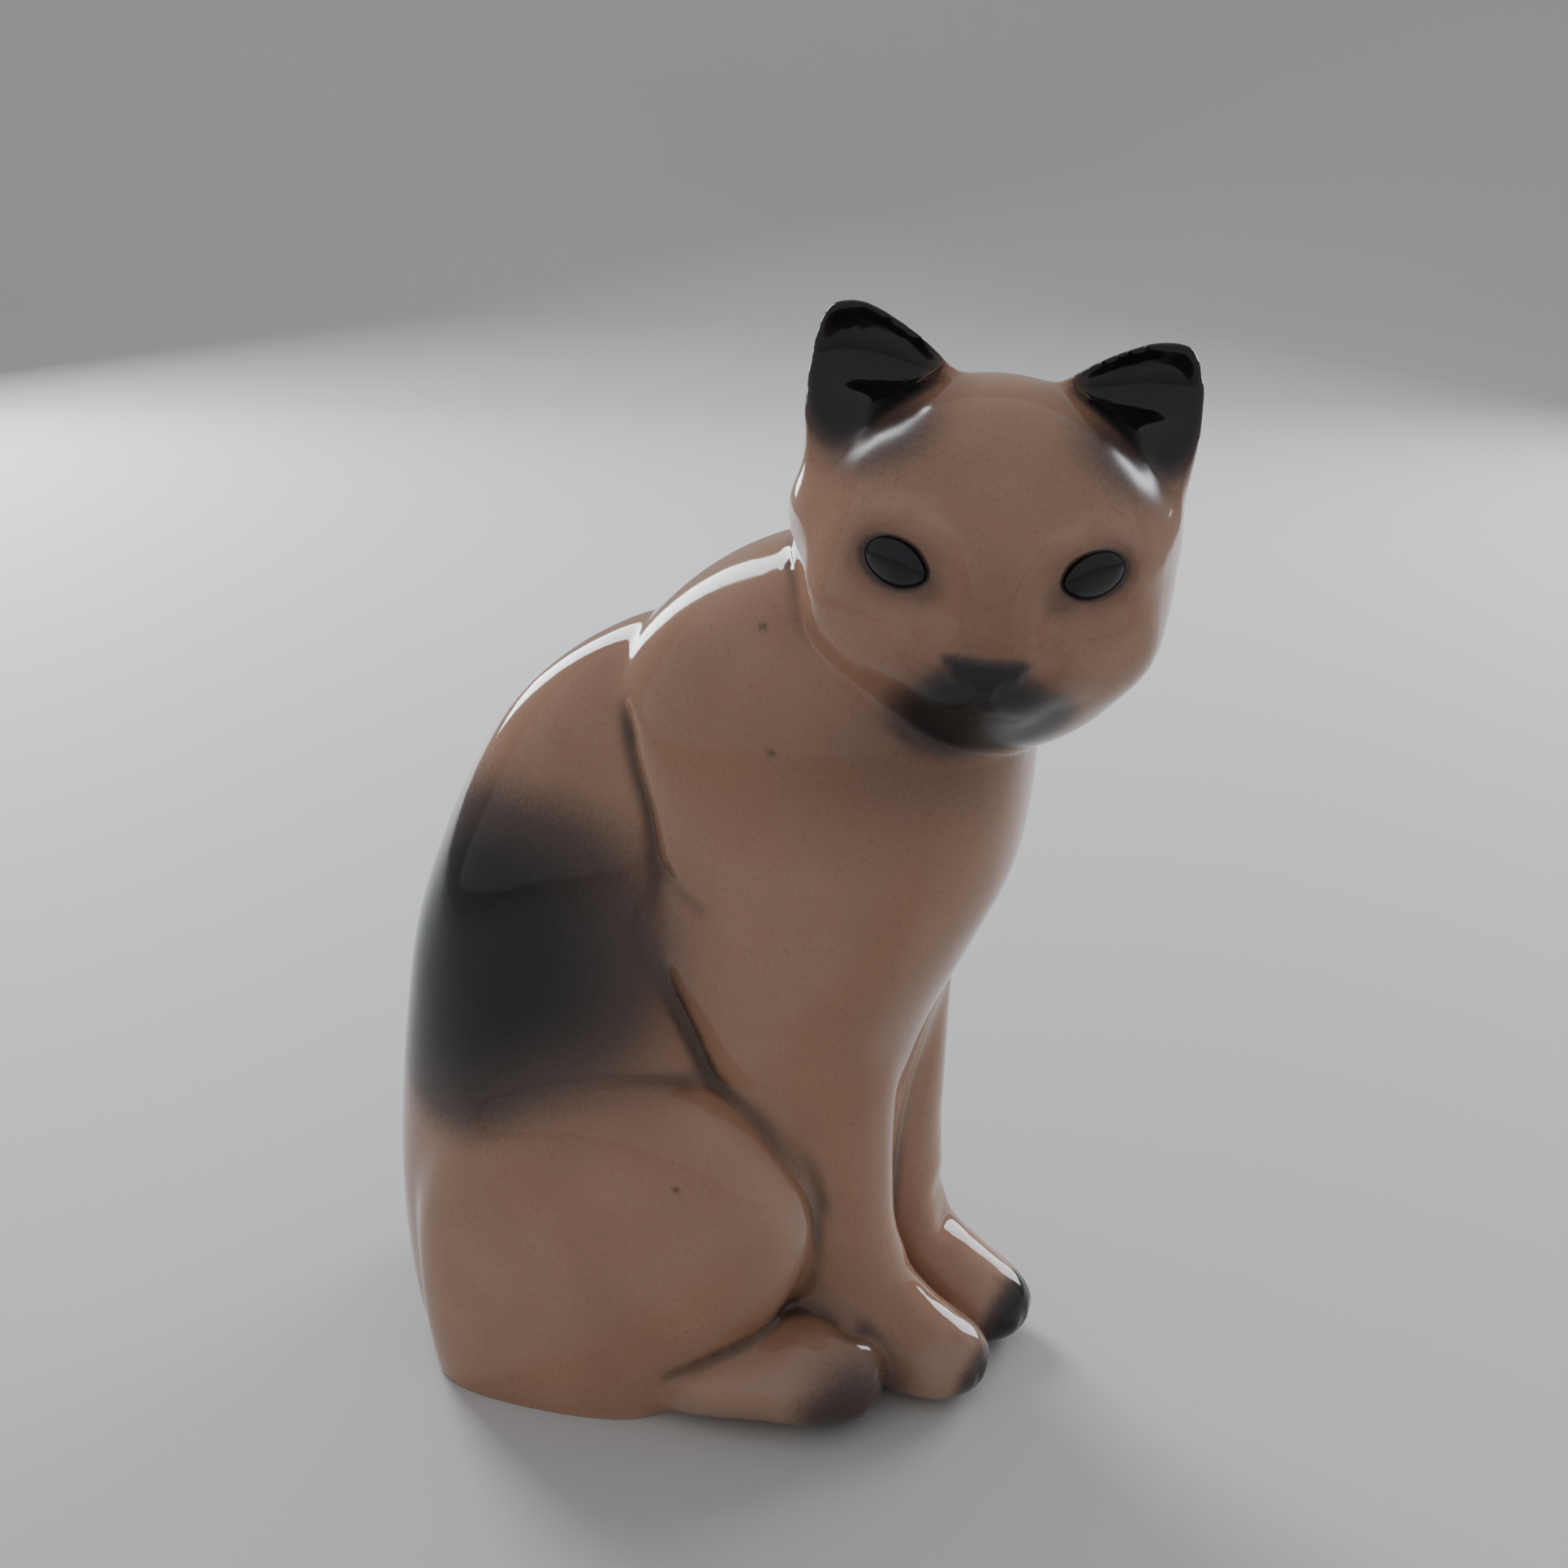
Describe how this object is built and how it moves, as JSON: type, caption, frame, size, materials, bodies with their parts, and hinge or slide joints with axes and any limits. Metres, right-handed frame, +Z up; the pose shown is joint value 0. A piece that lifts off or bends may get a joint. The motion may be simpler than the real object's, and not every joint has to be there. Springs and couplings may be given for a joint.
{
  "type": "seated cat figurine",
  "caption": "Glazed slip-cast cat figurine that sits upright on a flat base, its head turned over its right shoulder.",
  "frame": {"origin": "middle of the flat underside, on the surface that the figurine stands on", "axes": "+Z up; -Y the way the cat's body faces; -X its right side, which its head is turned towards"},
  "size_m": [0.0859, 0.1481, 0.2033],
  "materials": {
    "tan_glaze": "gloss",
    "dark_glaze": "gloss",
    "eye_glaze": "gloss"
  },
  "bodies": {
    "root": {"body_casting": "tan_glaze", "head_casting": "tan_glaze", "left_ear": "dark_glaze", "right_ear": "dark_glaze", "left_eye": "eye_glaze", "right_eye": "eye_glaze", "left_foreleg": "tan_glaze", "right_foreleg": "tan_glaze", "left_hind_foot": "tan_glaze", "right_hind_foot": "tan_glaze", "tail": "dark_glaze"}
  },
  "joints": []
}
